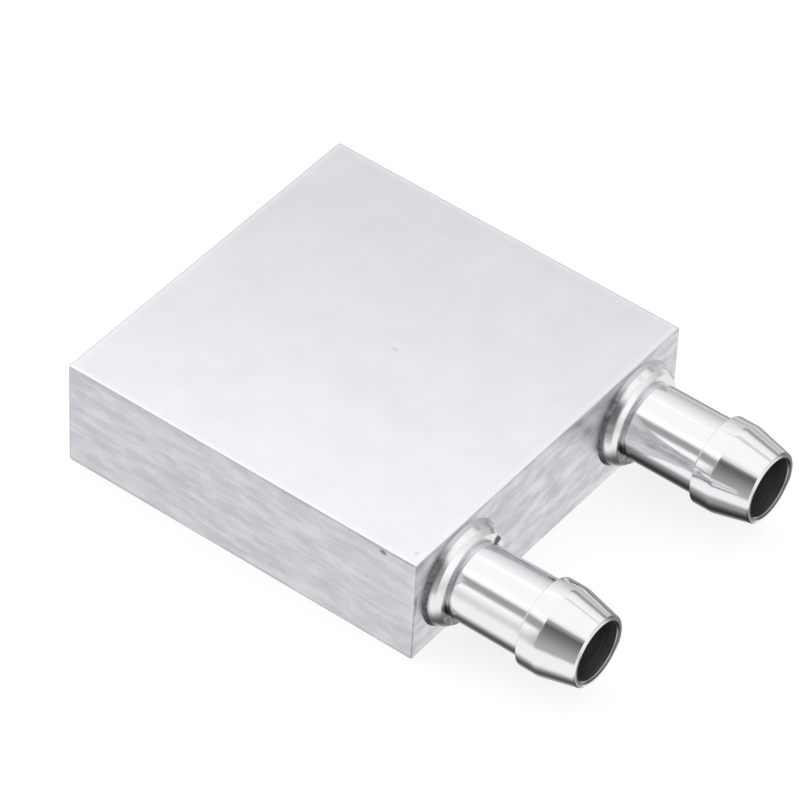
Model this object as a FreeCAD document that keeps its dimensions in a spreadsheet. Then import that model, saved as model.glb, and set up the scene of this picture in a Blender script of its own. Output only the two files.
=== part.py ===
import FreeCAD, Part
import math
import os

import Sketcher

# Liquid cooling cold plate: an extruded aluminium block with two passes of fins inside, closed by
# a brazed plate at each end, with two turned hose nozzles brazed into the plate at the port end.
#
# Row frame: origin at the centre of the block's bottom face, +Z up, +X out of the port end,
# inlet nozzle at -Y and outlet nozzle at +Y. Millimetres.

# Driving dimensions, one cell of the sheet each: alias, value, what it is.
SIZES = [
    ("block_length", 40.0, "block over both end plates, along X"),
    ("block_width", 40.0, "block across, along Y"),
    ("block_height", 12.0, "block from its rest face to its top face, along Z"),
    ("end_plate_thickness", 3.5, "port and return end plates"),
    ("skin_thickness", 2.0, "extrusion's top and bottom walls, over the channels"),
    ("side_wall_thickness", 2.0, "extrusion's two outer side walls"),
    ("divider_thickness", 2.0, "rib between the inlet pass and the outlet pass"),
    ("fins_per_pass", 5, "fins in each pass"),
    ("fin_thickness", 1.0, "one fin"),
    ("channel_corner_radius", 0.4, "inside corners of the channels and headers"),
    ("header_depth", 5.0, "length over which the fins are cut back at each end"),
    ("long_edge_radius", 0.3, "the block's four long edges"),
    ("end_edge_radius", 0.2, "edges round the outer face of each end plate"),
    ("nozzle_inset", 6.75, "from a nozzle's axis to the block's side face"),
    ("braze_clearance", 0.05, "radial gap between a nozzle's stem and its hole"),
    ("stem_radius", 3.9, "nozzle's stem, in the end plate and up to the barb"),
    ("bore_radius", 3.0, "nozzle's bore"),
    ("collar_radius", 5.3, "collar that seats on the end plate"),
    ("collar_thickness", 1.5, "collar along the nozzle's axis"),
    ("collar_back_chamfer", 0.15, "chamfer on the collar's rim beside the end plate"),
    ("collar_rim_drop", 0.3, "how far the rim falls from the collar's back to its front"),
    ("collar_front_length", 0.5, "bevel on the collar's front, along the nozzle's axis"),
    ("collar_front_drop", 0.4, "how far the bevel comes in from the rim's front"),
    ("relief_depth", 0.15, "turning relief beside the collar, below the stem's surface"),
    ("relief_width", 0.35, "turning relief along the nozzle's axis"),
    ("barb_start", 9.35, "from the end plate to where the barb's back begins to rise"),
    ("barb_rise", 0.25, "length of the barb's steep back"),
    ("barb_radius", 4.5, "barb's largest radius"),
    ("barb_land", 2.0, "length of the barb at its largest radius"),
    ("nozzle_reach", 15.5, "from the end plate to the nozzle's tip"),
    ("tip_radius", 3.65, "outside of the taper where the tip's chamfer starts"),
    ("tip_chamfer", 0.15, "chamfer round the outside of the tip"),
    ("mouth_chamfer", 0.2, "chamfer inside the bore's mouth"),
    ("barb_front_radius", 2.0, "soft edge between the barb's land and its taper"),
]


def make_sheet(doc):
    """The spreadsheet that every sketch, feature and placement reads."""
    sheet = doc.addObject("Spreadsheet::Sheet", "sizes")
    for row, (alias, value, note) in enumerate(SIZES, start=1):
        sheet.set(f"A{row}", alias)
        sheet.set(f"B{row}", str(value))
        sheet.set(f"C{row}", note)
        sheet.setAlias(f"B{row}", alias)
    doc.recompute()
    return sheet


def number(doc, expression):
    """The present value of an expression over the sheet, as a plain number."""
    result = doc.sizes.evalExpression(expression)
    return float(getattr(result, "Value", result))


def new_body(doc, name):
    body = doc.addObject("PartDesign::Body", name)
    body.Label = name
    return body


def new_sketch(body, name, role, offset=None):
    """A sketch on one of the body's own origin planes, moved out along its normal by offset."""
    plane = next(item for item in body.Origin.OriginFeatures if item.Role == role)
    sketch = body.newObject("Sketcher::SketchObject", name)
    sketch.AttachmentSupport = [(plane, "")]
    sketch.MapMode = "FlatFace"
    if offset:
        sketch.setExpression("AttachmentOffset.Base.z", offset)
    return sketch


def add_feature(body, kind, name, **bindings):
    """A feature of the body whose named properties follow expressions over the sheet."""
    feature = body.newObject(f"PartDesign::{kind}", name)
    for prop, expression in bindings.items():
        feature.setExpression(prop, expression)
    return feature


def bind(sketch, kind, first, second, expression):
    """A dimension between two sketch points, each (geometry, point), driven by an expression."""
    value = number(sketch.Document, expression)
    index = sketch.addConstraint(Sketcher.Constraint(kind, *first, *second, value))
    sketch.setExpression(f"Constraints[{index}]", expression)


def bind_radius(sketch, geometry, expression):
    """A circle's or arc's radius, driven by an expression."""
    value = number(sketch.Document, expression)
    index = sketch.addConstraint(Sketcher.Constraint("Radius", geometry, value))
    sketch.setExpression(f"Constraints[{index}]", expression)


def place_point(sketch, point, across, up):
    """Fix a sketch point at signed distances from the sketch's origin, given as expressions."""
    # A sketch numbers its horizontal axis -1, which starts at the origin, and its vertical axis -2.
    origin = (-1, 1)
    for kind, axis, expression in (("DistanceX", -2, across), ("DistanceY", -1, up)):
        value = number(sketch.Document, expression)
        if value == 0:
            sketch.addConstraint(Sketcher.Constraint("PointOnObject", *point, axis))
        elif value > 0:
            bind(sketch, kind, origin, point, expression)
        else:
            bind(sketch, kind, point, origin, f"-({expression})")


def add_rounded_rectangle(sketch, across, up, width, height, radius):
    """A rounded rectangle centred at (across, up). All five are expressions over the sheet."""
    doc = sketch.Document
    x_mid, y_mid, wide, high, rad = (number(doc, text) for text in (across, up, width, height, radius))
    x_arc, y_arc = wide / 2 - rad, high / 2 - rad

    def spot(x_side, y_side):
        return FreeCAD.Vector(x_mid + x_side, y_mid + y_side, 0)

    quarter = math.pi / 2
    lines = [(spot(-x_arc, -high / 2), spot(x_arc, -high / 2)),
             (spot(wide / 2, -y_arc), spot(wide / 2, y_arc)),
             (spot(x_arc, high / 2), spot(-x_arc, high / 2)),
             (spot(-wide / 2, y_arc), spot(-wide / 2, -y_arc))]
    centres = [spot(x_arc, -y_arc), spot(x_arc, y_arc), spot(-x_arc, y_arc), spot(-x_arc, -y_arc)]

    line = [sketch.addGeometry(Part.LineSegment(*ends), False) for ends in lines]
    arc = []
    for turn, centre in enumerate(centres):
        circle = Part.Circle(centre, FreeCAD.Vector(0, 0, 1), rad)
        start = (turn - 1) * quarter
        arc.append(sketch.addGeometry(Part.ArcOfCircle(circle, start, start + quarter), False))
    middle = sketch.addGeometry(Part.Point(spot(0, 0)), True)

    for side in range(4):
        sketch.addConstraint(Sketcher.Constraint("Tangent", line[side], 2, arc[side], 1))
        sketch.addConstraint(Sketcher.Constraint("Tangent", arc[side], 2, line[(side + 1) % 4], 1))
        level = "Horizontal" if side % 2 == 0 else "Vertical"
        sketch.addConstraint(Sketcher.Constraint(level, line[side]))
    for other in arc[1:]:
        sketch.addConstraint(Sketcher.Constraint("Equal", arc[0], other))
    sketch.addConstraint(Sketcher.Constraint("Symmetric", arc[0], 3, arc[2], 3, middle, 1))
    bind_radius(sketch, arc[0], radius)
    bind(sketch, "DistanceX", (line[3], 1), (line[1], 1), width)
    bind(sketch, "DistanceY", (line[0], 1), (line[2], 1), height)
    place_point(sketch, (middle, 1), across, up)


def add_profile(sketch, corners):
    """A closed outline through corners, each (across, up) or (across, up, rounding radius)."""
    doc = sketch.Document
    spots = [FreeCAD.Vector(number(doc, corner[0]), number(doc, corner[1]), 0) for corner in corners]
    side = [sketch.addGeometry(Part.LineSegment(spots[i - 1], spots[i]), False)
            for i in range(len(spots))]
    for i in range(len(side)):
        sketch.addConstraint(Sketcher.Constraint("Coincident", side[i - 1], 2, side[i], 1))

    # Side i ends at corner i. Rounding a corner keeps it as a point, just after the new arc.
    ends = [(geometry, 2) for geometry in side]
    rounded = []
    for i, corner in enumerate(corners):
        if len(corner) == 3:
            arc = sketch.GeometryCount
            sketch.fillet(side[i], 2, number(doc, corner[2]), True, True)
            ends[i] = (arc + 1, 1)
            rounded.append((arc, corner[2]))
    for end, corner in zip(ends, corners):
        place_point(sketch, end, corner[0], corner[1])
    for arc, radius in rounded:
        bind_radius(sketch, arc, radius)


def rim_of_face(shape, along):
    """Names of the outer edges of the shape's flat face that lies across X at this position."""
    for face in shape.Faces:
        box = face.BoundBox
        if box.XLength < 1e-6 and abs(box.XMin - along) < 1e-6:
            rim = face.OuterWire.Edges
            return [f"Edge{index}" for index, edge in enumerate(shape.Edges, start=1)
                    if any(edge.isSame(other) for other in rim)]
    return []


# ---- the extrusion --------------------------------------------------------------------------------

EXTRUSION_LENGTH = "(sizes.block_length - 2 * sizes.end_plate_thickness)"
PASS_WIDTH = "((sizes.block_width - sizes.divider_thickness) / 2 - sizes.side_wall_thickness)"
CHANNEL_HEIGHT = "(sizes.block_height - 2 * sizes.skin_thickness)"
CHANNEL_WIDTH = ("((" + PASS_WIDTH + " - sizes.fins_per_pass * sizes.fin_thickness)"
                 " / (sizes.fins_per_pass + 1))")
MID_HEIGHT = "sizes.block_height / 2"
PASS_MIDDLE = "((sizes.divider_thickness + " + PASS_WIDTH + ") / 2)"
NOZZLE_OFFSET = "(sizes.block_width / 2 - sizes.nozzle_inset)"


def add_block_outline(body, name):
    """The section that the extrusion and both end plates share, standing on the rest face."""
    sketch = new_sketch(body, name, "YZ_Plane")
    add_rounded_rectangle(sketch, "0", MID_HEIGHT, "sizes.block_width", "sizes.block_height",
                          "sizes.long_edge_radius")
    return sketch


def cut_channels(body):
    """Both passes of channels: the first channel of each pass, repeated across with the fins."""
    sketch = new_sketch(body, "first_channels", "YZ_Plane")
    inset = "(" + PASS_WIDTH + " - " + CHANNEL_WIDTH + ") / 2"
    for middle in ("-" + PASS_MIDDLE, PASS_MIDDLE):
        add_rounded_rectangle(sketch, middle + " - " + inset, MID_HEIGHT, CHANNEL_WIDTH,
                              CHANNEL_HEIGHT, "sizes.channel_corner_radius")
    channels = add_feature(body, "Pocket", "channels", Length=EXTRUSION_LENGTH)
    channels.Profile = sketch
    channels.Reversed = True
    body.Document.recompute()

    repeat = add_feature(body, "LinearPattern", "channels_across",
                         Length="sizes.fins_per_pass * (" + CHANNEL_WIDTH + " + sizes.fin_thickness)",
                         Occurrences="sizes.fins_per_pass + 1")
    repeat.Originals = [channels]
    repeat.Direction = (sketch, ["H_Axis"])
    body.Tip = repeat


def cut_header(body, name, offset, reversed_cut, passes):
    """Fins cut back from one end of the extrusion, over each (middle, width) given in passes."""
    sketch = new_sketch(body, name + "_outline", "YZ_Plane", offset)
    for middle, width in passes:
        add_rounded_rectangle(sketch, middle, MID_HEIGHT, width, CHANNEL_HEIGHT,
                              "sizes.channel_corner_radius")
    header = add_feature(body, "Pocket", name, Length="sizes.header_depth")
    header.Profile = sketch
    header.Reversed = reversed_cut
    body.Document.recompute()


def make_channel_extrusion(doc):
    """One extruded length: skins, side walls, divider and fins, machined back for the headers."""
    body = new_body(doc, "channel_extrusion")
    section = add_block_outline(body, "extrusion_section")
    length = add_feature(body, "Pad", "extruded_length", Length=EXTRUSION_LENGTH)
    length.Profile = section
    doc.recompute()
    cut_channels(body)
    doc.recompute()
    whole_width = "(sizes.block_width - 2 * sizes.side_wall_thickness)"
    cut_header(body, "return_header", None, True, [("0", whole_width)])
    cut_header(body, "port_headers", EXTRUSION_LENGTH, False,
               [("-" + PASS_MIDDLE, PASS_WIDTH), (PASS_MIDDLE, PASS_WIDTH)])
    body.setExpression("Placement.Base.x", "-" + EXTRUSION_LENGTH + " / 2")
    return body


# ---- the end plates -------------------------------------------------------------------------------

def add_end_plate_slab(body):
    section = add_block_outline(body, body.Name + "_section")
    slab = add_feature(body, "Pad", body.Name + "_slab", Length="sizes.end_plate_thickness")
    slab.Profile = section
    body.Document.recompute()
    return slab


def round_outer_rim(body, base, along):
    """Ease the edges round the plate's outer face, which lies at this X in the body."""
    rim = add_feature(body, "Fillet", body.Name + "_rim", Radius="sizes.end_edge_radius")
    rim.Base = (base, rim_of_face(base.Shape, along))


def make_return_end_plate(doc):
    body = new_body(doc, "return_end_plate")
    slab = add_end_plate_slab(body)
    round_outer_rim(body, slab, 0.0)
    body.setExpression("Placement.Base.x", "-sizes.block_length / 2")
    return body


def make_port_end_plate(doc):
    body = new_body(doc, "port_end_plate")
    add_end_plate_slab(body)

    sketch = new_sketch(body, "nozzle_hole_circles", "YZ_Plane")
    hole_radius = "sizes.stem_radius + sizes.braze_clearance"
    for side in ("-", ""):
        across = side + NOZZLE_OFFSET
        centre = FreeCAD.Vector(number(doc, across), number(doc, MID_HEIGHT), 0)
        circle = Part.Circle(centre, FreeCAD.Vector(0, 0, 1), number(doc, hole_radius))
        index = sketch.addGeometry(circle, False)
        bind_radius(sketch, index, hole_radius)
        place_point(sketch, (index, 3), across, MID_HEIGHT)
    holes = add_feature(body, "Pocket", "nozzle_holes", Length="sizes.end_plate_thickness")
    holes.Profile = sketch
    holes.Reversed = True
    doc.recompute()

    round_outer_rim(body, holes, number(doc, "sizes.end_plate_thickness"))
    body.setExpression("Placement.Base.x", "sizes.block_length / 2 - sizes.end_plate_thickness")
    return body


# ---- the nozzles ----------------------------------------------------------------------------------

RIM_FRONT = "sizes.collar_radius - sizes.collar_rim_drop"
RELIEF_RADIUS = "sizes.stem_radius - sizes.relief_depth"
RELIEF_END = "sizes.collar_thickness + sizes.relief_width"
BARB_TOP = "sizes.barb_start + sizes.barb_rise"
BARB_END = "sizes.barb_start + sizes.barb_rise + sizes.barb_land"


def nozzle_corners():
    """Half section of a nozzle: (along, radius, rounding) with the end plate's outer face at 0."""
    bore, stem = "sizes.bore_radius", "sizes.stem_radius"
    collar, barb = "sizes.collar_radius", "sizes.barb_radius"
    inner_end = "-sizes.end_plate_thickness"
    return [
        (inner_end, bore), (inner_end, stem), ("0", stem),
        ("0", collar + " - sizes.collar_back_chamfer"), ("sizes.collar_back_chamfer", collar),
        ("sizes.collar_thickness - sizes.collar_front_length", RIM_FRONT),
        ("sizes.collar_thickness", RIM_FRONT + " - sizes.collar_front_drop"),
        ("sizes.collar_thickness", RELIEF_RADIUS), (RELIEF_END, RELIEF_RADIUS),
        (RELIEF_END, stem), ("sizes.barb_start", stem), (BARB_TOP, barb),
        (BARB_END, barb, "sizes.barb_front_radius"),
        ("sizes.nozzle_reach - sizes.tip_chamfer", "sizes.tip_radius"),
        ("sizes.nozzle_reach", "sizes.tip_radius - sizes.tip_chamfer"),
        ("sizes.nozzle_reach", "sizes.bore_radius + sizes.mouth_chamfer"),
        ("sizes.nozzle_reach - sizes.mouth_chamfer", bore),
    ]


def make_nozzle(doc, name, side):
    """A turned hose nozzle: stem in the end plate, collar, neck, one barb and a tapered tip."""
    body = new_body(doc, name)
    sketch = new_sketch(body, name + "_half_section", "XZ_Plane")
    add_profile(sketch, nozzle_corners())
    turned = add_feature(body, "Revolution", name + "_turned")
    turned.Profile = sketch
    turned.ReferenceAxis = (sketch, ["H_Axis"])
    turned.Angle = 360
    body.setExpression("Placement.Base.x", "sizes.block_length / 2")
    body.setExpression("Placement.Base.y", side + NOZZLE_OFFSET)
    body.setExpression("Placement.Base.z", MID_HEIGHT)
    return body


# ---- build, check and write -----------------------------------------------------------------------

def check(doc, bodies):
    """Stop if any object failed or any sub-part is not one valid solid."""
    failed = [item.Name for item in doc.Objects if {"Invalid", "Error"} & set(item.State)]
    for body in bodies:
        shape = body.Shape
        if shape.isNull() or not shape.isValid() or len(shape.Solids) != 1:
            failed.append(body.Label)
    if failed:
        raise RuntimeError("failed: " + ", ".join(failed))


def main():
    doc = FreeCAD.newDocument("cold_plate")
    make_sheet(doc)
    bodies = [
        make_channel_extrusion(doc),
        make_return_end_plate(doc),
        make_port_end_plate(doc),
        make_nozzle(doc, "inlet_nozzle", "-"),
        make_nozzle(doc, "outlet_nozzle", ""),
    ]
    doc.recompute()
    check(doc, bodies)
    os.makedirs("parts", exist_ok=True)
    for body in bodies:
        body.Shape.exportStep(f"parts/{body.Label}.step")
        print(f"{body.Label}: {body.Shape.Volume:.1f} mm3")


main()
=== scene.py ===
import math
from collections import namedtuple

import bmesh
import bpy
from mathutils import Matrix, Vector


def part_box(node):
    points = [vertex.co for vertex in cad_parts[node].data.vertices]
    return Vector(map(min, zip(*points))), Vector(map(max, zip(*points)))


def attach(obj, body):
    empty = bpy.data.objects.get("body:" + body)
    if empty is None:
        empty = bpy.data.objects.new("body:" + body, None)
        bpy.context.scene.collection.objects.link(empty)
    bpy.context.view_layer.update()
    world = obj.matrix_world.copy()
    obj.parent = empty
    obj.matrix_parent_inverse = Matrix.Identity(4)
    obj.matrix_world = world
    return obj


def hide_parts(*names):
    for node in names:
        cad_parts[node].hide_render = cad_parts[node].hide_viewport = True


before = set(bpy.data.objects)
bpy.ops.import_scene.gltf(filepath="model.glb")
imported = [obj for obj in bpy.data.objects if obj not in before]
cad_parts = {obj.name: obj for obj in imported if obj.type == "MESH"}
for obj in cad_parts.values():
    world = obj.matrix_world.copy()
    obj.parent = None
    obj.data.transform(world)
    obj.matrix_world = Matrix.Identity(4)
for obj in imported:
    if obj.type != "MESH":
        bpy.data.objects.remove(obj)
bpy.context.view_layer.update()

# Liquid cooling cold plate: a brazed aluminium block with two turned hose nozzles.
# Sizes below are in millimetres and turned to metres by MM; places come from the CAD parts in
# model.glb.
MM = 0.001

# ---- sizes of the turned nozzles, along the axis from the end plate's outer face --------------------

STEM_RADIUS = 3.9
BORE_RADIUS = 3.0
COLLAR_RADIUS = 5.3
COLLAR_THICKNESS = 1.5
COLLAR_BACK_CHAMFER = 0.15
COLLAR_RIM_DROP = 0.3
COLLAR_FRONT_LENGTH = 0.5
COLLAR_FRONT_DROP = 0.4
RELIEF_DEPTH = 0.15
RELIEF_WIDTH = 0.35
BARB_START = 9.35
BARB_RISE = 0.25
BARB_LAND = 2.0
BARB_RADIUS = 4.5
BARB_FRONT_RADIUS = 2.0
TIP_RADIUS = 3.65
TIP_CHAMFER = 0.15
MOUTH_CHAMFER = 0.2
TURNED_SEGMENTS = 192
BRAZE_WIDTH = 0.16
BRAZE_HEIGHT = 0.48
BRAZE_TUCK = 0.3

# ---- camera and studio ------------------------------------------------------------------------------

CAMERA_TARGET = Vector((3.445, -0.72, 7.856)) * MM
CAMERA_AZIMUTH = math.radians(-54.183)
CAMERA_ELEVATION = math.radians(44.211)
CAMERA_ROLL = math.radians(2.769)
CAMERA_DISTANCE = 517.8 * MM
CAMERA_LENS = 254.0
CAMERA_SENSOR = 36.0
CAMERA_NEAREST = 10.0
CAMERA_FARTHEST = 100000.0
FLOOR_SIZE = 6000.0
FLOOR_GLOW = 0.70
SOFTBOX_WIDTH = 400.0
SOFTBOX_DEPTH = 300.0
SOFTBOX_PLACE = Vector((-80, -10, 262)) * MM
SOFTBOX_RADIANCE = 0.32

# ---- marks, painted highlight and painted shade -----------------------------------------------------

# Small marks from handling, in millimetres: where each one is, its half sizes and its strength.
BLOCK_MARKS = [
    ((16.4, -20.0, 11.5), (0.5, 0.5, 0.35), 0.75),    # nick under the top edge, by the port corner
    ((20.0, -19.7, 6.7), (0.5, 0.22, 1.8), 0.5),      # rub beside the port corner
    ((19.0, -18.6, 12.0), (0.35, 0.3, 0.3), 0.15),    # speck on the top face, by the corner
    ((1.6, 0.8, 12.0), (0.5, 0.4, 0.3), 0.12),        # scuff in the middle of the top face
]
# The dark fleck on the front of the inlet's collar: where it is and its half sizes.
COLLAR_FLECK = ((21.5, -9.66, 8.37), (0.6, 0.8, 0.8))
EDGE_HIGHLIGHT = 0.3      # how much the painted highlight brightens the ground faces along their edges
EDGE_SHADE_LINE = 0.08    # strength of the painted shade line below the top edges

# Sectors of a nozzle where painted shade lies, in degrees from +Y round to +Z: the middle of the
# sector, then the angles from there at which its shade is full and at which it ends.
FOOT_SHADE = (172, 38, 66)         # painted shade at the foot of each collar and its braze seam, by the plate
NECK_SHADE = (160, 25, 66)         # painted shade in the neck, close to the stem
FRONT_SHADE = (218, 24, 44)        # painted shade on the front of each collar
RIM_SHADE = (150, 16, 32)          # painted shade on the rim of the outlet's collar
UNDERSIDE_SHADE = (196, 13, 22)    # painted shade along the underside of the outlet nozzle
TIP_SHADE = (22, 36, 64)           # painted shade on one side of the tip's end, in place of its changing reflection
LIP_SHADE = (188, 30, 52)          # painted shade on the inner half of the lip, on the other side

# Bands across a sector, in millimetres: where a painted shade's strength changes, then the
# strength before and after. The first three are measured out from the end plate, the neck's out
# from the stem, the tip's from the nozzle's end, where back is negative, and the others out from
# the edge of the mouth.
FOOT_BAND = (0.3, 0.7, 0.8, 0.0)
RIM_BAND = (1.0, 1.15, 0.6, 0.0)
UNDERSIDE_BAND = (COLLAR_THICKNESS, COLLAR_THICKNESS + 0.1, 0.0, 0.78)
NECK_BAND = (0.1, 0.3, 0.4, 0.0)
TIP_BAND = (-0.25, -0.1, 0.0, 1.0)
MOUTH_BAND = (0.0, 0.12, 1.0, 0.0)
LIP_BAND = (0.2, 0.3, 1.0, 0.0)


def hex_colour(code):
    """An sRGB hex colour as linear RGBA."""
    channels = [int(code[i:i + 2], 16) / 255 for i in (1, 3, 5)]
    linear = [c / 12.92 if c <= 0.04045 else ((c + 0.055) / 1.055) ** 2.4 for c in channels]
    return (*linear, 1.0)


def add_node(tree, kind, inputs=(), **settings):
    """One node with its settings and links. Inputs come in order or by name, and each is a plain
    value, an output socket, or a node, which stands for its first live output."""
    node = tree.nodes.new(kind)
    for name, value in settings.items():
        setattr(node, name, value)
    if isinstance(inputs, dict):
        pairs = [(node.inputs[name], value) for name, value in inputs.items()]
    else:
        live = [socket for socket in node.inputs if socket.enabled]
        pairs = zip(live, inputs)
    for socket, value in pairs:
        if isinstance(value, bpy.types.Node):
            value = next(output for output in value.outputs if output.enabled)
        if isinstance(value, bpy.types.NodeSocket):
            tree.links.new(value, socket)
        else:
            socket.default_value = value
    return node


def new_material(name):
    """A material with an empty node tree, and the tree."""
    material = bpy.data.materials.new(name)
    material.use_nodes = True
    material.node_tree.nodes.clear()
    return material, material.node_tree


# ---- materials --------------------------------------------------------------------------------------

MATH, MIX, RAMP = "ShaderNodeMath", "ShaderNodeMix", "ShaderNodeMapRange"
VECTOR_MATH, SEPARATE = "ShaderNodeVectorMath", "ShaderNodeSeparateXYZ"
SMOOTH = {"interpolation_type": "SMOOTHSTEP"}
COLOUR = {"data_type": "RGBA"}


def stretched_noise(tree, position, spacing, seed=0.0, detail=3.0):
    """Noise whose grains measure spacing = (x, y, z) millimetres."""
    scale = tuple(1.0 / (size * MM) for size in spacing)
    moved = add_node(tree, "ShaderNodeMapping", {"Vector": position, "Scale": scale,
                                                  "Location": (seed, seed * 0.7, seed * 1.3)})
    return add_node(tree, "ShaderNodeTexNoise", {"Vector": moved, "Scale": 1.0, "Detail": detail,
                                                 "Roughness": 0.55})


def near_point(tree, position, point, size):
    """1 at a point given in millimetres, falling to 0 at size = (x, y, z) millimetres from it."""
    offset = add_node(tree, VECTOR_MATH, (position, Vector(point) * MM), operation="SUBTRACT")
    scaled = add_node(tree, VECTOR_MATH, (offset, [1 / (length * MM) for length in size]),
                      operation="MULTIPLY")
    far = add_node(tree, VECTOR_MATH, (scaled,), operation="LENGTH")
    return add_node(tree, RAMP, (far, 0.45, 1.0, 1.0, 0.0), **SMOOTH)


def from_nozzle_axis(tree, position, axis):
    """The way from the nearer nozzle's axis, across it. One axis runs through the point axis, and
    the other lies opposite, across the block's middle."""
    place = add_node(tree, SEPARATE, (position,))
    side = add_node(tree, MATH, (place.outputs[1],), operation="SIGN")
    axis_y = add_node(tree, MATH, (side, axis.y), operation="MULTIPLY")
    across = add_node(tree, MATH, (place.outputs[1], axis_y), operation="SUBTRACT")
    up = add_node(tree, MATH, (place.outputs[2], axis.z), operation="SUBTRACT")
    return add_node(tree, "ShaderNodeCombineXYZ", (0.0, across, up))


def sector_cover(tree, radial, shade_sector):
    """1 in the middle of a painted shade's sector and 0 outside it."""
    middle, full, end = (math.radians(angle) for angle in shade_sector)
    unit = add_node(tree, VECTOR_MATH, (radial,), operation="NORMALIZE")
    toward = add_node(tree, VECTOR_MATH, (unit, (0.0, math.cos(middle), math.sin(middle))),
                      operation="DOT_PRODUCT").outputs["Value"]
    return add_node(tree, RAMP, (toward, math.cos(end), math.cos(full)), **SMOOTH)


def band_cover(tree, distance, origin, band):
    """A painted shade's strength by distance, where band gives millimetres from the origin."""
    start, end, before, after = band
    return add_node(tree, RAMP, (distance, origin + start * MM, origin + end * MM, before, after),
                    **SMOOTH)


def finish_metal(tree, colour, rough, bump):
    """The surface of a bare metal, which ends its node tree."""
    metal = add_node(tree, "ShaderNodeBsdfPrincipled", {"Base Color": colour, "Metallic": 1.0,
                                                        "Roughness": rough, "Normal": bump})
    add_node(tree, "ShaderNodeOutputMaterial", {"Surface": metal})


def side_lines(tree, position, facing_x):
    """Lines left by the die along X on the long sides and by the belt along Y on the ends: broad,
    broken ones with a few fine ones among them, and blotches left by the etch. Real lines are
    about 0.1 mm apart, and these are drawn as coarse as they need to be to show."""
    fine_x = stretched_noise(tree, position, (4.0, 0.2, 0.2), seed=3.0)
    fine_y = stretched_noise(tree, position, (0.2, 4.0, 0.2), seed=8.0)
    broad_x = stretched_noise(tree, position, (4.5, 1.2, 0.75), seed=4.0, detail=5.0)
    broad_y = stretched_noise(tree, position, (1.2, 3.0, 0.9), seed=9.0, detail=5.0)
    blotch = stretched_noise(tree, position, (2.4, 2.4, 1.4), seed=14.0, detail=5.0)
    fine = add_node(tree, MIX, (facing_x, fine_x, fine_y))
    broad = add_node(tree, MIX, (facing_x, broad_x, broad_y))
    streaks = add_node(tree, MIX, (0.15, broad, fine))
    return add_node(tree, MIX, (0.4, streaks, blotch))


def side_tone(tree, texture, facing_x):
    """Colour of the sides and ends, whose dark lines are a little darker on the ends."""
    streak = add_node(tree, RAMP, (texture, 0.36, 0.64), **SMOOTH)
    dark = add_node(tree, MIX, (facing_x, hex_colour("#D0D0D5"), hex_colour("#C6C6CB")), **COLOUR)
    return add_node(tree, MIX, (streak, dark, hex_colour("#ECECF0")), **COLOUR)


def ground_tone(tree, position, place):
    """Colour of the ground faces: faintly mottled, with painted shade that darkens them toward the
    return corner, at the back of the top face.
    """
    double_y = add_node(tree, MATH, (place.outputs[1], 2.0), operation="MULTIPLY")
    across = add_node(tree, MATH, (place.outputs[0], double_y), operation="SUBTRACT")
    # Painted shade: the ground faces darken toward the return corner, where the top face is less lit.
    painted_shade_toward_back = add_node(tree, RAMP, (across, -60 * MM, 60 * MM, -0.05, 0.95), **SMOOTH)
    cloud = stretched_noise(tree, position, (7.0, 7.0, 7.0), seed=11.0, detail=3.0)
    clouded = add_node(tree, MATH, (cloud, 0.10, painted_shade_toward_back), operation="MULTIPLY_ADD")
    mottle = stretched_noise(tree, position, (3.4, 3.4, 3.4), seed=17.0, detail=4.0)
    uneven = add_node(tree, MATH, (mottle, -0.5), operation="ADD")
    tone = add_node(tree, MATH, (uneven, 0.6, clouded), operation="MULTIPLY_ADD")
    return add_node(tree, MIX, (tone, hex_colour("#DFDEE4"), hex_colour("#F3F2F7")), **COLOUR)


def painted_edge_light(tree, place, facing_z, colour):
    """Painted highlight: the ground faces are painted brighter along their edges; and painted shade
    draws a dull line just below the top ones."""
    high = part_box("port_end_plate")[1]
    reach_x = add_node(tree, MATH, (place.outputs[0],), operation="ABSOLUTE")
    reach_y = add_node(tree, MATH, (place.outputs[1],), operation="ABSOLUTE")
    reach = add_node(tree, MATH, (reach_x, reach_y), operation="MAXIMUM")
    # Painted highlight: the ground faces brighten toward their edges.
    edge = add_node(tree, RAMP, (reach, high.x - 0.9 * MM, high.x - 0.2 * MM, 0.0, EDGE_HIGHLIGHT),
                    **SMOOTH)
    highlighted = add_node(tree, MATH, (edge, facing_z), operation="MULTIPLY")
    bright = add_node(tree, MIX, (highlighted, colour, hex_colour("#FFFFFF")), **COLOUR)
    # Painted shade: a dark line on the sides just below the top edges.
    line = add_node(tree, RAMP, (place.outputs[2], high.z - 0.9 * MM, high.z - 0.4 * MM,
                                 0.0, EDGE_SHADE_LINE), **SMOOTH)
    sideways = add_node(tree, MATH, (1.0, facing_z), operation="SUBTRACT")
    painted_shade = add_node(tree, MATH, (line, sideways), operation="MULTIPLY")
    return add_node(tree, MIX, (painted_shade, bright, hex_colour("#7A7A80")), **COLOUR)


def handling_marks(tree, position, colour):
    """The small marks, each a grey smudge over the metal's colour."""
    for point, size, strength in BLOCK_MARKS:
        cover = near_point(tree, position, point, size)
        smudge = add_node(tree, MATH, (cover, strength), operation="MULTIPLY")
        colour = add_node(tree, MIX, (smudge, colour, hex_colour("#6A6A70")), **COLOUR)
    return colour


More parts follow.
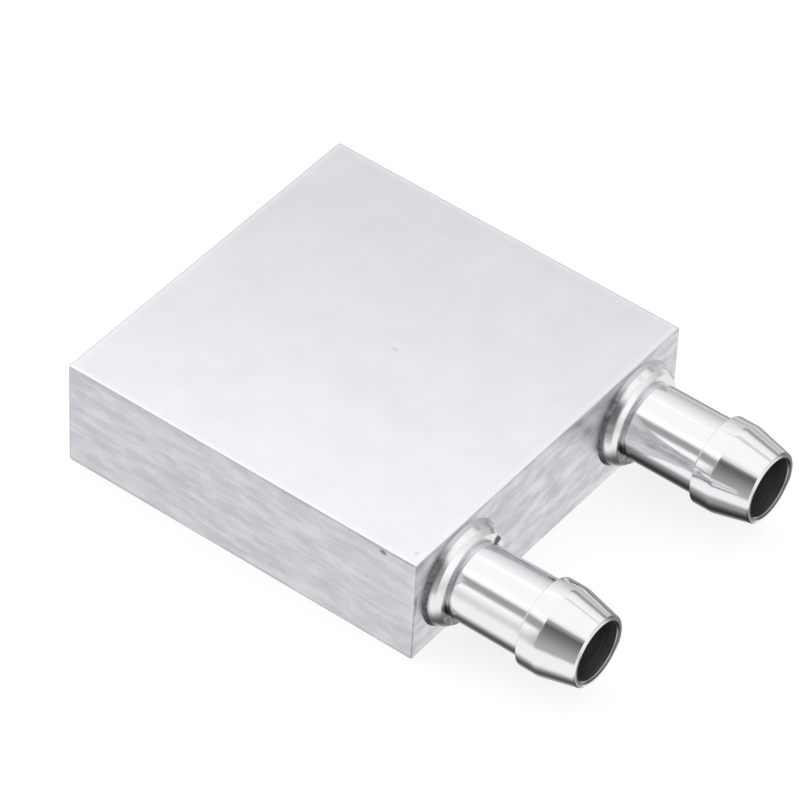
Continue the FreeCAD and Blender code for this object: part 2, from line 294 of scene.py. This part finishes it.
def block_aluminium():
    """6063 aluminium block: satin ground top and rest faces, and drawn sides whose soft, broken
    die lines and etched blotches give the eye a quiet streaky grey."""
    material, tree = new_material("satin_mill_aluminium")
    here = add_node(tree, "ShaderNodeTexCoord")
    position = here.outputs["Object"]
    place = add_node(tree, SEPARATE, (position,))
    normal = add_node(tree, SEPARATE, (here.outputs["Normal"],))
    upright = add_node(tree, MATH, (normal.outputs[2],), operation="ABSOLUTE")
    endwise = add_node(tree, MATH, (normal.outputs[0],), operation="ABSOLUTE")
    facing_z = add_node(tree, RAMP, (upright, 0.6, 0.8), **SMOOTH)
    facing_x = add_node(tree, RAMP, (endwise, 0.6, 0.8), **SMOOTH)

    # The grit of the ground faces, drawn coarser than it is so that it shows.
    grain = stretched_noise(tree, position, (0.12, 0.12, 0.12), seed=5.0, detail=2.0)
    texture = add_node(tree, MIX, (facing_z, side_lines(tree, position, facing_x), grain))
    clean = add_node(tree, MIX, (facing_z, side_tone(tree, texture, facing_x),
                                 ground_tone(tree, position, place)), **COLOUR)
    # Painted highlight along the ground faces' edges and painted shade below the top edges, then the
    # handling marks.
    colour = handling_marks(tree, position, painted_edge_light(tree, place, facing_z, clean))

    rough_side = add_node(tree, RAMP, (texture, 0.25, 0.75, 0.30, 0.42), **SMOOTH)
    rough = add_node(tree, MIX, (facing_z, rough_side, 0.32))
    relief = add_node(tree, MIX, (facing_z, 0.3, 0.12))
    bump = add_node(tree, "ShaderNodeBump", {"Height": texture, "Strength": relief,
                                             "Distance": 0.010 * MM})
    finish_metal(tree, colour, rough, bump)
    return material


def tip_painted_shade(tree, radial, place):
    """Painted shade on the tip: on one side of its end, standing in for the end's changing reflection,
    on the inner half of the lip on the other side, and all round the mouth's chamfer."""
    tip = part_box("outlet_nozzle")[1].x
    at_tip = band_cover(tree, place.outputs[0], tip, TIP_BAND)
    far = add_node(tree, VECTOR_MATH, (radial,), operation="LENGTH").outputs["Value"]
    mouth = (BORE_RADIUS + MOUTH_CHAMFER) * MM
    mouth_shade = band_cover(tree, far, mouth, MOUTH_BAND)
    inner = band_cover(tree, far, mouth, LIP_BAND)
    lip = add_node(tree, MATH, (sector_cover(tree, radial, LIP_SHADE), inner), operation="MULTIPLY")
    painted_shade = add_node(tree, MATH, (sector_cover(tree, radial, TIP_SHADE), mouth_shade), operation="MAXIMUM")
    painted_shade = add_node(tree, MATH, (painted_shade, lip), operation="MAXIMUM")
    return add_node(tree, MATH, (at_tip, painted_shade), operation="MULTIPLY")


def side_painted_shade(tree, radial, place):
    """Painted shade on the turned side: on each collar's rim by the plate, farther out on the outlet
    collar's rim, and in a band along the underside of the outlet nozzle."""
    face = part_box("port_end_plate")[1].x
    covers = []
    for shade_sector, band in ((FOOT_SHADE, FOOT_BAND), (RIM_SHADE, RIM_BAND),
                        (UNDERSIDE_SHADE, UNDERSIDE_BAND)):
        reach = band_cover(tree, place.outputs[0], face, band)
        covers.append(add_node(tree, MATH, (reach, sector_cover(tree, radial, shade_sector)),
                               operation="MULTIPLY"))
    foot, rim, underside = covers
    outlet = add_node(tree, RAMP, (place.outputs[1], 0.0, 1.0 * MM), **SMOOTH)
    both = add_node(tree, MATH, (rim, underside), operation="MAXIMUM")
    outlet_only = add_node(tree, MATH, (both, outlet), operation="MULTIPLY")
    return add_node(tree, MATH, (foot, outlet_only), operation="MAXIMUM")


def turned_aluminium(axis):
    """Bright turned and buffed aluminium bar: mirror-like, slightly wavy from the buffing wheel,
    with faint rings left by the tool. The collar is rougher and blurs what it mirrors, and the
    places of painted shade are a plain grey."""
    material, tree = new_material("bright_turned_aluminium")
    position = add_node(tree, "ShaderNodeTexCoord").outputs["Object"]
    rings = stretched_noise(tree, position, (0.05, 8.0, 8.0), seed=2.0)
    haze = stretched_noise(tree, position, (1.2, 1.2, 1.2), seed=6.0)
    waves = stretched_noise(tree, position, (1.6, 1.0, 1.0), seed=12.0, detail=1.0)
    buffed = add_node(tree, RAMP, (haze, 0.3, 0.7, 0.06, 0.12), **SMOOTH)
    wavy = add_node(tree, "ShaderNodeBump", {"Height": waves, "Strength": 0.5,
                                             "Distance": 0.006 * MM})
    bump = add_node(tree, "ShaderNodeBump", {"Height": rings, "Strength": 0.2,
                                             "Distance": 0.001 * MM, "Normal": wavy})
    place = add_node(tree, SEPARATE, (position,))
    collar_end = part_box("port_end_plate")[1].x + COLLAR_THICKNESS * MM
    rough = add_node(tree, RAMP, (place.outputs[0], collar_end, collar_end + 0.1 * MM, 0.22, buffed),
                     **SMOOTH)
    radial = from_nozzle_axis(tree, position, axis)
    painted_shade = add_node(tree, MATH, (tip_painted_shade(tree, radial, place),
                                 side_painted_shade(tree, radial, place)), operation="MAXIMUM")
    # Painted shade: the masked places turn a plain dark grey.
    colour = add_node(tree, MIX, (painted_shade, hex_colour("#F0F0F2"), hex_colour("#6A6A6D")), **COLOUR)
    finish_metal(tree, colour, rough, bump)
    return material


def drilled_aluminium():
    """The drilled bore: dull, grey with oxide, ringed by the drill."""
    material, tree = new_material("drilled_bore_aluminium")
    position = add_node(tree, "ShaderNodeTexCoord").outputs["Object"]
    rings = stretched_noise(tree, position, (0.08, 8.0, 8.0), seed=4.0)
    ring = add_node(tree, RAMP, (rings, 0.3, 0.7), **SMOOTH)
    colour = add_node(tree, MIX, (ring, hex_colour("#8A8A8C"), hex_colour("#B4B4B6")), **COLOUR)
    bump = add_node(tree, "ShaderNodeBump", {"Height": rings, "Strength": 0.4,
                                             "Distance": 0.004 * MM})
    finish_metal(tree, colour, 0.4, bump)
    return material


def painted_shade_and_fleck(name, axis, shade_sector, neck_shade_sector, clean, dark, rough):
    """Bare aluminium or braze with painted shade on the shaded -Y side of each collar: bright metal
    there turns to a patchy, matt dark grey, and the dark fleck marks the inlet's collar. The neck's
    sector, if there is one, lies close to the stem only."""
    material, tree = new_material(name)
    position = add_node(tree, "ShaderNodeTexCoord").outputs["Object"]
    radial = from_nozzle_axis(tree, position, axis)
    cover = sector_cover(tree, radial, shade_sector)
    if neck_shade_sector:
        far = add_node(tree, VECTOR_MATH, (radial,), operation="LENGTH").outputs["Value"]
        close = band_cover(tree, far, STEM_RADIUS * MM, NECK_BAND)
        neck = add_node(tree, MATH, (sector_cover(tree, radial, neck_shade_sector), close),
                        operation="MULTIPLY")
        cover = add_node(tree, MATH, (neck, cover), operation="MAXIMUM")
    lumps = stretched_noise(tree, position, (0.5, 0.5, 0.5), seed=31.0)
    patchy = add_node(tree, RAMP, (lumps, 0.25, 0.75, 0.7, 1.0), **SMOOTH)
    patches = add_node(tree, MATH, (cover, patchy), operation="MULTIPLY")
    fleck = near_point(tree, position, *COLLAR_FLECK)
    shade_and_fleck = add_node(tree, MATH, (patches, fleck), operation="MAXIMUM")
    colour = add_node(tree, MIX, (shade_and_fleck, hex_colour(clean), hex_colour(dark)), **COLOUR)
    bump = add_node(tree, "ShaderNodeBump", {"Height": lumps, "Strength": 0.3,
                                             "Distance": 0.02 * MM})
    finish_metal(tree, colour, rough, bump)
    return material


# ---- the turned nozzles -----------------------------------------------------------------------------

def nozzle_corners(reach, inner):
    """The nozzle's outline from its inner end out along the outside and back down the bore:
    (along, radius, rounding) in millimetres, with the end plate's outer face at 0."""
    rise_end = BARB_START + BARB_RISE
    relief_end = COLLAR_THICKNESS + RELIEF_WIDTH
    relief_radius = STEM_RADIUS - RELIEF_DEPTH
    rim_front = COLLAR_RADIUS - COLLAR_RIM_DROP
    return [
        (inner, BORE_RADIUS, 0), (inner, STEM_RADIUS, 0), (0, STEM_RADIUS, 0),
        (0, COLLAR_RADIUS - COLLAR_BACK_CHAMFER, 0.05),
        (COLLAR_BACK_CHAMFER, COLLAR_RADIUS, 0.1),
        (COLLAR_THICKNESS - COLLAR_FRONT_LENGTH, rim_front, 0.5),
        (COLLAR_THICKNESS, rim_front - COLLAR_FRONT_DROP, 0.15),
        (COLLAR_THICKNESS, relief_radius, 0.06), (relief_end, relief_radius, 0.06),
        (relief_end, STEM_RADIUS, 0.03), (BARB_START, STEM_RADIUS, 0.08),
        (rise_end, BARB_RADIUS, 0.12), (rise_end + BARB_LAND, BARB_RADIUS, BARB_FRONT_RADIUS),
        (reach - TIP_CHAMFER, TIP_RADIUS, 0.06), (reach, TIP_RADIUS - TIP_CHAMFER, 0.05),
        (reach, BORE_RADIUS + MOUTH_CHAMFER, 0.03), (reach - MOUTH_CHAMFER, BORE_RADIUS, 0.03),
    ]


def braze_corners():
    """The braze seam's outline: a low bead in the corner between the collar and the end plate."""
    rim = COLLAR_RADIUS - COLLAR_RIM_DROP * BRAZE_HEIGHT / (COLLAR_THICKNESS - COLLAR_FRONT_LENGTH)
    return [(0, COLLAR_RADIUS - BRAZE_TUCK, 0), (0, COLLAR_RADIUS + BRAZE_WIDTH, 0),
            (BRAZE_HEIGHT, rim, 0)]


def rounded_outline(corners, steps=7):
    """Points of a closed outline, in which an arc replaces each corner (x, y, radius)."""
    points = []
    count = len(corners)
    for i, (x, y, radius) in enumerate(corners):
        corner = Vector((x, y))
        back = (Vector(corners[i - 1][:2]) - corner).normalized()
        ahead = (Vector(corners[(i + 1) % count][:2]) - corner).normalized()
        if radius == 0:
            points.append(corner)
            continue
        half = back.angle(ahead) / 2
        centre = corner + (back + ahead).normalized() * (radius / math.sin(half))
        first = corner + back * (radius / math.tan(half)) - centre
        sweep = first.angle_signed(corner + ahead * (radius / math.tan(half)) - centre)
        for k in range(steps + 1):
            turned = Matrix.Rotation(-sweep * k / steps, 2) @ first
            points.append(centre + turned)
    return points


# Inputs of the turning tree: name, kind of socket.
TURNING_INPUTS = [
    ("Half section", "NodeSocketGeometry"), ("Axis", "NodeSocketVector"),
    ("Segments", "NodeSocketInt"), ("Bore limit", "NodeSocketFloat"),
    ("Groove start", "NodeSocketFloat"), ("Groove end", "NodeSocketFloat"),
    ("Groove limit", "NodeSocketFloat"), ("Outside", "NodeSocketMaterial"),
    ("Bore", "NodeSocketMaterial"), ("Groove", "NodeSocketMaterial"),
]


def turned_grid(tree, given, place):
    """A flat grid, one row to a point of the half section and one column to a step of the turn,
    wrapped round the axis and closed."""
    section = given["Half section"]
    count = add_node(tree, "GeometryNodeAttributeDomainSize", (section,), component="MESH")
    rows = add_node(tree, MATH, (count, 1.0), operation="ADD")
    columns = add_node(tree, MATH, (given["Segments"], 1.0), operation="ADD")
    grid = add_node(tree, "GeometryNodeMeshGrid", (1.0, 1.0, columns, rows))
    spot = add_node(tree, SEPARATE, (place,))
    turn = add_node(tree, MATH, (spot, 2 * math.pi, math.pi), operation="MULTIPLY_ADD")
    level = add_node(tree, MATH, (spot.outputs[1], 0.5), operation="ADD")
    row = add_node(tree, MATH, (level, count), operation="MULTIPLY")
    whole = add_node(tree, MATH, (row,), operation="ROUND")
    index = add_node(tree, MATH, (whole, count), operation="FLOORED_MODULO")
    corner = add_node(tree, "GeometryNodeSampleIndex", (section, place, index),
                      data_type="FLOAT_VECTOR", domain="POINT")
    profile = add_node(tree, SEPARATE, (corner,))
    cosine = add_node(tree, MATH, (turn,), operation="COSINE")
    sine = add_node(tree, MATH, (turn,), operation="SINE")
    across = add_node(tree, MATH, (profile.outputs[1], cosine), operation="MULTIPLY")
    up = add_node(tree, MATH, (profile.outputs[1], sine), operation="MULTIPLY")
    turned = add_node(tree, "ShaderNodeCombineXYZ", (profile, across, up))
    wrapped = add_node(tree, "GeometryNodeSetPosition", {"Geometry": grid, "Position": turned,
                                                         "Offset": given["Axis"]})
    closed = add_node(tree, "GeometryNodeMergeByDistance", {"Geometry": wrapped, "Distance": 1e-7})
    return add_node(tree, "GeometryNodeRealizeInstances", {"Geometry": closed})


def finished_faces(tree, given, place, shape):
    """The shape with its materials: the bore and the neck's groove take their own, chosen by where
    a face lies, and the rest takes the outside's."""
    offset = add_node(tree, VECTOR_MATH, (place, given["Axis"]), operation="SUBTRACT")
    along = add_node(tree, SEPARATE, (offset,))
    flat = add_node(tree, VECTOR_MATH, (offset, (0.0, 1.0, 1.0)), operation="MULTIPLY")
    radius = add_node(tree, VECTOR_MATH, (flat,), operation="LENGTH").outputs["Value"]
    in_bore = add_node(tree, MATH, (radius, given["Bore limit"]), operation="LESS_THAN")
    past_start = add_node(tree, MATH, (along, given["Groove start"]), operation="GREATER_THAN")
    before_end = add_node(tree, MATH, (along, given["Groove end"]), operation="LESS_THAN")
    low = add_node(tree, MATH, (radius, given["Groove limit"]), operation="LESS_THAN")
    high = add_node(tree, MATH, (radius, given["Bore limit"]), operation="GREATER_THAN")
    between = add_node(tree, MATH, (past_start, before_end), operation="MULTIPLY")
    ring = add_node(tree, MATH, (low, high), operation="MULTIPLY")
    in_groove = add_node(tree, MATH, (between, ring), operation="MULTIPLY")
    outside = add_node(tree, "GeometryNodeSetMaterial", {"Geometry": shape,
                                                         "Material": given["Outside"]})
    grooved = add_node(tree, "GeometryNodeSetMaterial",
                       {"Geometry": outside, "Selection": in_groove, "Material": given["Groove"]})
    return add_node(tree, "GeometryNodeSetMaterial",
                    {"Geometry": grooved, "Selection": in_bore, "Material": given["Bore"]})


def turning_tree():
    """Geometry Nodes that turn a half section, a ring of points (along, radius), about its axis."""
    tree = bpy.data.node_groups.new("turned_from_half_section", "GeometryNodeTree")
    for name, kind in TURNING_INPUTS:
        tree.interface.new_socket(name, in_out="INPUT", socket_type=kind)
    tree.interface.new_socket("Turned piece", in_out="OUTPUT", socket_type="NodeSocketGeometry")
    given = add_node(tree, "NodeGroupInput").outputs
    place = add_node(tree, "GeometryNodeInputPosition")
    shape = turned_grid(tree, given, place)
    add_node(tree, "NodeGroupOutput", (finished_faces(tree, given, place, shape),))
    return tree


def turned_piece(name, tree, outline, axis, finishes):
    """A piece turned about X through the point axis, as a plain mesh standing in its place."""
    section = bpy.data.meshes.new(name + "_half_section")
    section.from_pydata([(spot.x * MM, spot.y * MM, 0) for spot in outline], [], [])
    piece = bpy.data.objects.new(name, section)
    bpy.context.scene.collection.objects.link(piece)
    turning = piece.modifiers.new("turning", "NODES")
    turning.node_group = tree
    outside, bore, groove = finishes
    # The limits lie between the faces that they part.
    values = {"Axis": axis, "Segments": TURNED_SEGMENTS, "Bore limit": (BORE_RADIUS + 0.01) * MM,
              "Groove start": (COLLAR_THICKNESS - 0.02) * MM,
              "Groove end": (COLLAR_THICKNESS + RELIEF_WIDTH + 0.01) * MM,
              "Groove limit": (COLLAR_RADIUS - COLLAR_RIM_DROP - COLLAR_FRONT_DROP) * MM,
              "Outside": outside, "Bore": bore, "Groove": groove}
    for socket in tree.interface.items_tree:
        if socket.in_out == "INPUT" and socket.name in values:
            turning[socket.identifier] = values[socket.name]

    evaluated = piece.evaluated_get(bpy.context.evaluated_depsgraph_get())
    mesh = bpy.data.meshes.new_from_object(evaluated)
    piece.modifiers.clear()
    piece.data = mesh
    mesh.name = name
    mesh.materials.pop(index=0)  # the grid's own empty slot
    mesh.shade_smooth()
    mesh.set_sharp_from_angle(angle=math.radians(32))
    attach(piece, "root")
    return piece


def hose_nozzle(name, node, tree, metals):
    """A nozzle where its CAD node stands, and the braze seam at its collar's foot."""
    low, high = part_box(node)
    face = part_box("port_end_plate")[1].x
    axis = Vector((face, (low.y + high.y) / 2, (low.z + high.z) / 2))
    corners = nozzle_corners((high.x - face) / MM, (low.x - face) / MM)
    finishes = (metals["turned"], metals["drilled"], metals["shade_and_fleck"])
    nozzle = turned_piece(name, tree, rounded_outline(corners), axis, finishes)
    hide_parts(node)
    braze = (metals["braze"],) * 3
    turned_piece(name + "_braze_seam", tree, rounded_outline(braze_corners()), axis, braze)


# ---- the block --------------------------------------------------------------------------------------

FLAT = 0.9999     # a face is flat when its normal has a part this large
NEAR = 0.76       # two faces shade as one surface when their normals' product is above this


def even_normals(mesh):
    """Corner normals that keep the flat faces flat and turn smoothly round the softened edges."""
    flat = [max(abs(n) for n in face.normal) > FLAT for face in mesh.polygons]
    around = {}
    for face in mesh.polygons:
        for vertex in face.vertices:
            around.setdefault(vertex, []).append(face.index)
    normals = []
    for face in mesh.polygons:
        for vertex in face.vertices:
            near = [i for i in around[vertex] if mesh.polygons[i].normal.dot(face.normal) > NEAR]
            level = [i for i in near if flat[i]]
            if flat[face.index]:
                normals.append(face.normal.copy())
            elif level:
                normals.append(max((mesh.polygons[i].normal for i in level),
                                   key=lambda normal: normal.dot(face.normal)).copy())
            else:
                mean = sum((mesh.polygons[i].normal for i in near), Vector())
                normals.append(mean.normalized())
    mesh.normals_split_custom_set(normals)


def cleaned_solid(name, node, metal):
    """The CAD solid with its facets joined and its softened edges shaded smooth."""
    source = bpy.data.objects[node]
    shape = bmesh.new()
    shape.from_mesh(source.data)
    bmesh.ops.remove_doubles(shape, verts=shape.verts, dist=1e-6)
    bmesh.ops.recalc_face_normals(shape, faces=shape.faces)
    mesh = bpy.data.meshes.new(name)
    shape.to_mesh(mesh)
    shape.free()
    mesh.materials.clear()
    mesh.materials.append(metal)
    mesh.shade_smooth()
    mesh.set_sharp_from_angle(angle=math.radians(40))
    even_normals(mesh)
    piece = bpy.data.objects.new(name, mesh)
    bpy.context.scene.collection.objects.link(piece)
    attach(piece, "root")
    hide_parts(node)
    return piece


# ---- camera, floor and light ------------------------------------------------------------------------

def add_camera():
    """The camera, aimed at its target from the azimuth and elevation and then rolled."""
    camera = bpy.data.objects.new("camera", bpy.data.cameras.new("camera"))
    bpy.context.scene.collection.objects.link(camera)
    outward = Vector((math.cos(CAMERA_ELEVATION) * math.cos(CAMERA_AZIMUTH),
                      math.cos(CAMERA_ELEVATION) * math.sin(CAMERA_AZIMUTH),
                      math.sin(CAMERA_ELEVATION)))
    camera.location = CAMERA_TARGET + outward * CAMERA_DISTANCE
    level = outward.to_track_quat("Z", "Y")
    camera.rotation_mode = "QUATERNION"
    camera.rotation_quaternion = level @ Matrix.Rotation(CAMERA_ROLL, 4, "Z").to_quaternion()
    camera.data.lens = CAMERA_LENS
    camera.data.sensor_width = CAMERA_SENSOR
    camera.data.clip_start = CAMERA_NEAREST * MM
    camera.data.clip_end = CAMERA_FARTHEST * MM
    bpy.context.scene.camera = camera


def add_floor():
    """A pale sweep that stays white to the camera and keeps the part's soft shadow."""
    material, tree = new_material("pale_paper_floor")
    paper = add_node(tree, "ShaderNodeBsdfDiffuse", {"Color": hex_colour("#AEAEAE")})
    glow = add_node(tree, "ShaderNodeEmission", {"Color": (1, 1, 1, 1), "Strength": FLOOR_GLOW})
    both = add_node(tree, "ShaderNodeAddShader", (paper, glow))
    seen = add_node(tree, "ShaderNodeLightPath").outputs["Is Camera Ray"]
    mixed = add_node(tree, "ShaderNodeMixShader", (seen, paper, both))
    add_node(tree, "ShaderNodeOutputMaterial", {"Surface": mixed})

    half = FLOOR_SIZE / 2 * MM
    mesh = bpy.data.meshes.new("floor")
    corners = [(-half, -half, 0), (half, -half, 0), (half, half, 0), (-half, half, 0)]
    mesh.from_pydata(corners, [], [(0, 1, 2, 3)])
    mesh.materials.append(material)
    floor = bpy.data.objects.new("floor", mesh)
    bpy.context.scene.collection.objects.link(floor)
    floor.visible_glossy = False


# Soft cards round the part: the place of a card's middle, its half sizes, and how far it fades at
# the sides and foot (blur) and at the top, in degrees as seen from the part, then the brightness
# of its foot and of its top. The dark ones draw the thin dark lines on the nozzles; the last,
# white one lights the end plate.
Card = namedtuple("Card", "azimuth elevation half_width half_height blur top_blur foot top")
CARDS = [
    Card(-88, 23, 24, 35, 5, 12, 0.46, 0.10),
    Card(-119, 34.5, 15, 9, 5, 5, 0.40, 0.36),
    Card(96, 24, 16, 6, 4, 4, 0.36, 0.36),
    Card(125, -45, 30, 34, 12, 12, 0.36, 0.36),
    Card(54, -44, 26, 22, 8, 8, 0.95, 0.95),
]
# The dark card under the part: its middle, how many degrees from there it is fully dark and where
# it ends, and its brightness. It is stretched along X, so it runs the length of the nozzles.
UNDER_CARD_MIDDLE = Vector((-0.10, 0.19, -0.98))
UNDER_CARD_FULL = 16
UNDER_CARD_END = 50
UNDER_CARD_BRIGHTNESS = 0.10
UNDER_CARD_STRETCH = 2.0
# Brightness of the tent's walls before and behind the part, of the ring and the middle of its
# ceiling, and of the middle and the rim of its table.
NEAR_WALL, REAR_WALL = 0.76, 0.50
CEILING_RING, CEILING_MIDDLE = 1.12, 0.76
TABLE_MIDDLE, TABLE_RIM = 1.0, 0.76


def tent_light(tree, axis):
    """The tent's own brightness: a bright ceiling, greyer walls and a white table."""
    up = axis.outputs[2]
    # The wall behind the part is the greyer one; the near wall turns bright just above the table.
    behind = add_node(tree, RAMP, (axis.outputs[1], -0.3, 0.3), **SMOOTH)
    wall = add_node(tree, MIX, (behind, NEAR_WALL, REAR_WALL))
    reach = add_node(tree, MIX, (behind, 0.35, 0.85))
    climb = add_node(tree, MATH, (up, reach), operation="DIVIDE", use_clamp=True)
    ceiling = add_node(tree, RAMP, (up, 0.77, 0.84, CEILING_RING, CEILING_MIDDLE), **SMOOTH)
    sky = add_node(tree, MIX, (climb, wall, ceiling))
    table = add_node(tree, RAMP, (up, -0.38, -0.05, TABLE_MIDDLE, TABLE_RIM), **SMOOTH)
    below = add_node(tree, RAMP, (up, -0.04, 0.0, 1.0, 0.0), **SMOOTH)
    return add_node(tree, MIX, (below, sky, table))


def under_card_cover(tree, direction):
    """How far the dark card under the part covers a direction."""
    shrink = (1 / UNDER_CARD_STRETCH, 1.0, 1.0)
    squeezed = add_node(tree, VECTOR_MATH, (direction, shrink), operation="MULTIPLY")
    unit = add_node(tree, VECTOR_MATH, (squeezed,), operation="NORMALIZE")
    toward = add_node(tree, VECTOR_MATH, (unit, UNDER_CARD_MIDDLE.normalized()),
                      operation="DOT_PRODUCT").outputs["Value"]
    end, full = (math.cos(math.radians(angle)) for angle in (UNDER_CARD_END, UNDER_CARD_FULL))
    return add_node(tree, RAMP, (toward, end, full), **SMOOTH)


def card_cover(tree, direction, above, card):
    """How far one card covers a direction; above is the height over the card's middle."""
    azimuth, half_width, half_height, blur, top_blur = (
        math.radians(angle)
        for angle in (card.azimuth, card.half_width, card.half_height, card.blur, card.top_blur))
    facing, turned = math.cos(azimuth), math.sin(azimuth)
    ahead = add_node(tree, VECTOR_MATH, (direction, (facing, turned, 0.0)),
                     operation="DOT_PRODUCT").outputs["Value"]
    aside = add_node(tree, VECTOR_MATH, (direction, (-turned, facing, 0.0)),
                     operation="DOT_PRODUCT").outputs["Value"]
    angle = add_node(tree, MATH, (aside, ahead), operation="ARCTAN2")
    off = add_node(tree, MATH, (angle,), operation="ABSOLUTE")
    inside = add_node(tree, RAMP, (off, half_width - blur, half_width + blur, 1.0, 0.0), **SMOOTH)
    over = add_node(tree, RAMP, (above, -half_height - blur, -half_height + blur), **SMOOTH)
    under = add_node(tree, RAMP, (above, half_height - top_blur, half_height + top_blur, 1.0, 0.0),
                     **SMOOTH)
    band = add_node(tree, MATH, (over, under), operation="MULTIPLY")
    return add_node(tree, MATH, (inside, band), operation="MULTIPLY")


def add_world():
    """A light tent with the dark card under the part and the other cards round it."""
    world = bpy.data.worlds.new("studio")
    bpy.context.scene.world = world
    world.use_nodes = True
    tree = world.node_tree
    tree.nodes.clear()
    direction = add_node(tree, "ShaderNodeTexCoord").outputs["Generated"]
    axis = add_node(tree, SEPARATE, (direction,))
    light = tent_light(tree, axis)
    under = under_card_cover(tree, direction)
    light = add_node(tree, MIX, (under, light, UNDER_CARD_BRIGHTNESS))

    elevation = add_node(tree, MATH, (axis.outputs[2],), operation="ARCSINE")
    for card in CARDS:
        middle, half_height = math.radians(card.elevation), math.radians(card.half_height)
        above = add_node(tree, MATH, (elevation, middle), operation="SUBTRACT")
        cover = card_cover(tree, direction, above, card)
        shade = add_node(tree, RAMP, (above, -half_height, half_height, card.foot, card.top),
                         **SMOOTH)
        light = add_node(tree, MIX, (cover, light, shade))

    studio = add_node(tree, "ShaderNodeBackground", {"Color": (1, 1, 1, 1), "Strength": light})
    white = add_node(tree, "ShaderNodeBackground", {"Color": (1, 1, 1, 1), "Strength": 1.0})
    seen = add_node(tree, "ShaderNodeLightPath").outputs["Is Camera Ray"]
    mixed = add_node(tree, "ShaderNodeMixShader", (seen, studio, white))
    add_node(tree, "ShaderNodeOutputWorld", {"Surface": mixed})


def add_softbox():
    """A large soft light close overhead; its rear edge shades the top face toward the back."""
    width, depth = SOFTBOX_WIDTH * MM, SOFTBOX_DEPTH * MM
    light = bpy.data.lights.new("softbox", "AREA")
    light.shape = "RECTANGLE"
    light.size = width
    light.size_y = depth
    light.energy = SOFTBOX_RADIANCE * math.pi * width * depth
    box = bpy.data.objects.new("softbox", light)
    bpy.context.scene.collection.objects.link(box)
    box.location = SOFTBOX_PLACE


def main():
    """Build the part and its studio."""
    satin = block_aluminium()
    low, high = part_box("outlet_nozzle")
    axis = (low + high) / 2
    metals = {
        "turned": turned_aluminium(axis),
        "drilled": drilled_aluminium(),
        # Painted shade: the collar fronts, necks and braze seams turn dark grey on their shaded -Y
        # side.
        "shade_and_fleck": painted_shade_and_fleck("aluminium_painted_shade_and_fleck", axis, FRONT_SHADE, NECK_SHADE,
                                "#EEEEF0", "#48484C", 0.25),
        "braze": painted_shade_and_fleck("braze_painted_shade", axis, FOOT_SHADE, None,
                              "#D8D8DC", "#4C4C50", 0.45),
    }
    cleaned_solid("finned_body", "channel_extrusion", satin)
    cleaned_solid("port_plate", "port_end_plate", satin)
    cleaned_solid("return_plate", "return_end_plate", satin)
    tree = turning_tree()
    hose_nozzle("inlet_hose_nozzle", "inlet_nozzle", tree, metals)
    hose_nozzle("outlet_hose_nozzle", "outlet_nozzle", tree, metals)
    add_floor()
    add_world()
    add_softbox()
    add_camera()
    bpy.context.scene.view_settings.view_transform = "Standard"


main()
